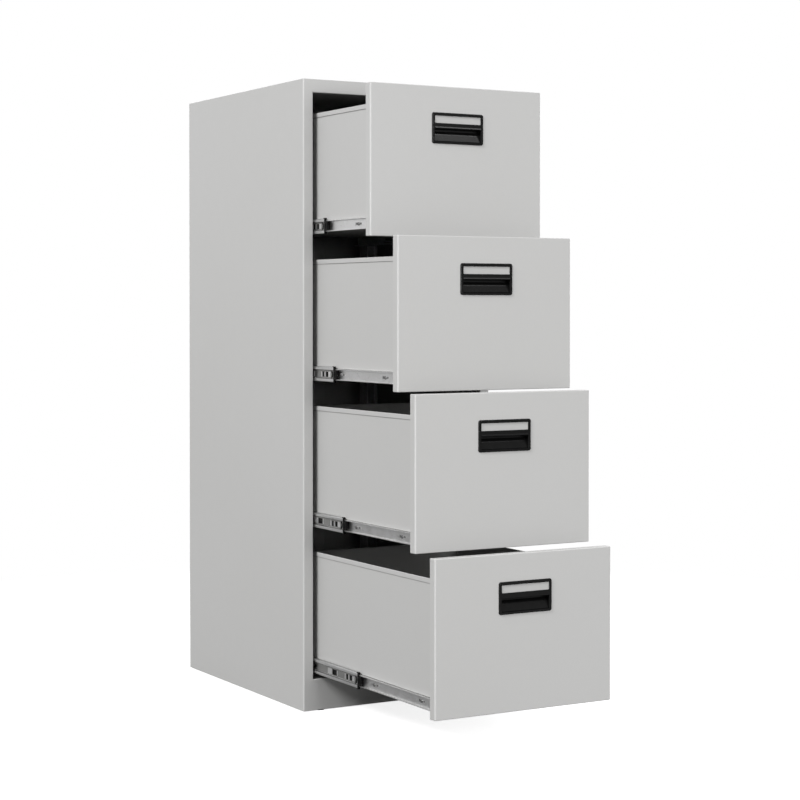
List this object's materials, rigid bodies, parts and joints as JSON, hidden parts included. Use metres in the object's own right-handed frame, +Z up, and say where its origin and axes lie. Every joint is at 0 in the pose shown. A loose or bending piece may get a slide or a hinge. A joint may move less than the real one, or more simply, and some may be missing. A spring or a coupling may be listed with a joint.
{
  "type": "filing cabinet",
  "caption": "Upright sheet-steel filing cabinet: deep drawers on full-extension ball-bearing slides, black recessed pulls with blank label windows, drawers pulled out in steps.",
  "frame": {"origin": "on the floor, in the middle of the whole cabinet's box as it stands with its drawers out", "axes": "+Z up, +X to the right seen from the front, +Y from the drawer fronts towards the back"},
  "size_m": [0.46, 1.0864, 1.33],
  "materials": {
    "case_paint": "light grey powder coat, fine texture, satin",
    "drawer_paint": "light grey powder coat, fine texture, satin",
    "zinc_steel": "bright zinc-plated steel",
    "black_plastic": "black moulded plastic, satin",
    "blank_card": "blank pale grey card, matt",
    "grey_nylon": "grey nylon"
  },
  "bodies": {
    "cabinet": {"side_panel_left": "case_paint", "side_panel_right": "case_paint", "top_panel": "case_paint", "back_panel": "case_paint", "base_pan": "case_paint", "slide_uprights": "zinc_steel", "floor_glides": "grey_nylon", "case_rivets": "zinc_steel", "slide_1_outer": "zinc_steel", "slide_2_outer": "zinc_steel", "slide_3_outer": "zinc_steel", "slide_4_outer": "zinc_steel"},
    "drawer_1": {"drawer_1_front": "drawer_paint", "drawer_1_inner_panel": "drawer_paint", "drawer_1_tray": "drawer_paint", "drawer_1_back": "drawer_paint", "drawer_1_handle": "black_plastic", "drawer_1_label_card": "blank_card", "drawer_1_screws": "zinc_steel", "drawer_1_slide_members": "zinc_steel"},
    "slide_1_middle_members": {"slide_1_middle": "zinc_steel", "slide_1_bumpers": "black_plastic"},
    "slide_1_case_side_cages": {"slide_1_outer_cages": "zinc_steel"},
    "slide_1_drawer_side_cages": {"slide_1_inner_cages": "zinc_steel"},
    "drawer_2": {"drawer_2_front": "drawer_paint", "drawer_2_inner_panel": "drawer_paint", "drawer_2_tray": "drawer_paint", "drawer_2_back": "drawer_paint", "drawer_2_handle": "black_plastic", "drawer_2_label_card": "blank_card", "drawer_2_screws": "zinc_steel", "drawer_2_slide_members": "zinc_steel"},
    "slide_2_middle_members": {"slide_2_middle": "zinc_steel", "slide_2_bumpers": "black_plastic"},
    "slide_2_case_side_cages": {"slide_2_outer_cages": "zinc_steel"},
    "slide_2_drawer_side_cages": {"slide_2_inner_cages": "zinc_steel"},
    "drawer_3": {"drawer_3_front": "drawer_paint", "drawer_3_inner_panel": "drawer_paint", "drawer_3_tray": "drawer_paint", "drawer_3_back": "drawer_paint", "drawer_3_handle": "black_plastic", "drawer_3_label_card": "blank_card", "drawer_3_screws": "zinc_steel", "drawer_3_slide_members": "zinc_steel"},
    "slide_3_middle_members": {"slide_3_middle": "zinc_steel", "slide_3_bumpers": "black_plastic"},
    "slide_3_case_side_cages": {"slide_3_outer_cages": "zinc_steel"},
    "slide_3_drawer_side_cages": {"slide_3_inner_cages": "zinc_steel"},
    "drawer_4": {"drawer_4_front": "drawer_paint", "drawer_4_inner_panel": "drawer_paint", "drawer_4_tray": "drawer_paint", "drawer_4_back": "drawer_paint", "drawer_4_handle": "black_plastic", "drawer_4_label_card": "blank_card", "drawer_4_screws": "zinc_steel", "drawer_4_slide_members": "zinc_steel"},
    "slide_4_middle_members": {"slide_4_middle": "zinc_steel", "slide_4_bumpers": "black_plastic"},
    "slide_4_case_side_cages": {"slide_4_outer_cages": "zinc_steel"},
    "slide_4_drawer_side_cages": {"slide_4_inner_cages": "zinc_steel"}
  },
  "joints": [
    {"name": "drawer_1_pull", "type": "slide", "parent": "cabinet", "child": "drawer_1", "axis": [0, -1, 0], "range_m": [-0.242, 0.288]},
    {"name": "slide_1_middle_run", "type": "slide", "parent": "cabinet", "child": "slide_1_middle_members", "axis": [0, -1, 0], "range_m": [-0.1212, 0.1442]},
    {"name": "slide_1_outer_cage_roll", "type": "slide", "parent": "cabinet", "child": "slide_1_case_side_cages", "axis": [0, -1, 0], "range_m": [-0.0607, 0.0722]},
    {"name": "slide_1_inner_cage_roll", "type": "slide", "parent": "cabinet", "child": "slide_1_drawer_side_cages", "axis": [0, -1, 0], "range_m": [-0.1817, 0.2162]},
    {"name": "drawer_2_pull", "type": "slide", "parent": "cabinet", "child": "drawer_2", "axis": [0, -1, 0], "range_m": [-0.352, 0.178]},
    {"name": "slide_2_middle_run", "type": "slide", "parent": "cabinet", "child": "slide_2_middle_members", "axis": [0, -1, 0], "range_m": [-0.1762, 0.0892]},
    {"name": "slide_2_outer_cage_roll", "type": "slide", "parent": "cabinet", "child": "slide_2_case_side_cages", "axis": [0, -1, 0], "range_m": [-0.0882, 0.0447]},
    {"name": "slide_2_inner_cage_roll", "type": "slide", "parent": "cabinet", "child": "slide_2_drawer_side_cages", "axis": [0, -1, 0], "range_m": [-0.2642, 0.1337]},
    {"name": "drawer_3_pull", "type": "slide", "parent": "cabinet", "child": "drawer_3", "axis": [0, -1, 0], "range_m": [-0.419, 0.111]},
    {"name": "slide_3_middle_run", "type": "slide", "parent": "cabinet", "child": "slide_3_middle_members", "axis": [0, -1, 0], "range_m": [-0.2097, 0.0557]},
    {"name": "slide_3_outer_cage_roll", "type": "slide", "parent": "cabinet", "child": "slide_3_case_side_cages", "axis": [0, -1, 0], "range_m": [-0.10495, 0.02795]},
    {"name": "slide_3_inner_cage_roll", "type": "slide", "parent": "cabinet", "child": "slide_3_drawer_side_cages", "axis": [0, -1, 0], "range_m": [-0.31445, 0.08345]},
    {"name": "drawer_4_pull", "type": "slide", "parent": "cabinet", "child": "drawer_4", "axis": [0, -1, 0], "range_m": [-0.493, 0.037]},
    {"name": "slide_4_middle_run", "type": "slide", "parent": "cabinet", "child": "slide_4_middle_members", "axis": [0, -1, 0], "range_m": [-0.2467, 0.0187]},
    {"name": "slide_4_outer_cage_roll", "type": "slide", "parent": "cabinet", "child": "slide_4_case_side_cages", "axis": [0, -1, 0], "range_m": [-0.12345, 0.00945]},
    {"name": "slide_4_inner_cage_roll", "type": "slide", "parent": "cabinet", "child": "slide_4_drawer_side_cages", "axis": [0, -1, 0], "range_m": [-0.36995, 0.02795]}
  ],
  "couplings": [
    {"joint": "slide_1_middle_run", "follows": "drawer_1_pull", "ratio": 0.5},
    {"joint": "slide_1_outer_cage_roll", "follows": "drawer_1_pull", "ratio": 0.25},
    {"joint": "slide_1_inner_cage_roll", "follows": "drawer_1_pull", "ratio": 0.75},
    {"joint": "slide_2_middle_run", "follows": "drawer_2_pull", "ratio": 0.5},
    {"joint": "slide_2_outer_cage_roll", "follows": "drawer_2_pull", "ratio": 0.25},
    {"joint": "slide_2_inner_cage_roll", "follows": "drawer_2_pull", "ratio": 0.75},
    {"joint": "slide_3_middle_run", "follows": "drawer_3_pull", "ratio": 0.5},
    {"joint": "slide_3_outer_cage_roll", "follows": "drawer_3_pull", "ratio": 0.25},
    {"joint": "slide_3_inner_cage_roll", "follows": "drawer_3_pull", "ratio": 0.75},
    {"joint": "slide_4_middle_run", "follows": "drawer_4_pull", "ratio": 0.5},
    {"joint": "slide_4_outer_cage_roll", "follows": "drawer_4_pull", "ratio": 0.25},
    {"joint": "slide_4_inner_cage_roll", "follows": "drawer_4_pull", "ratio": 0.75}
  ]
}
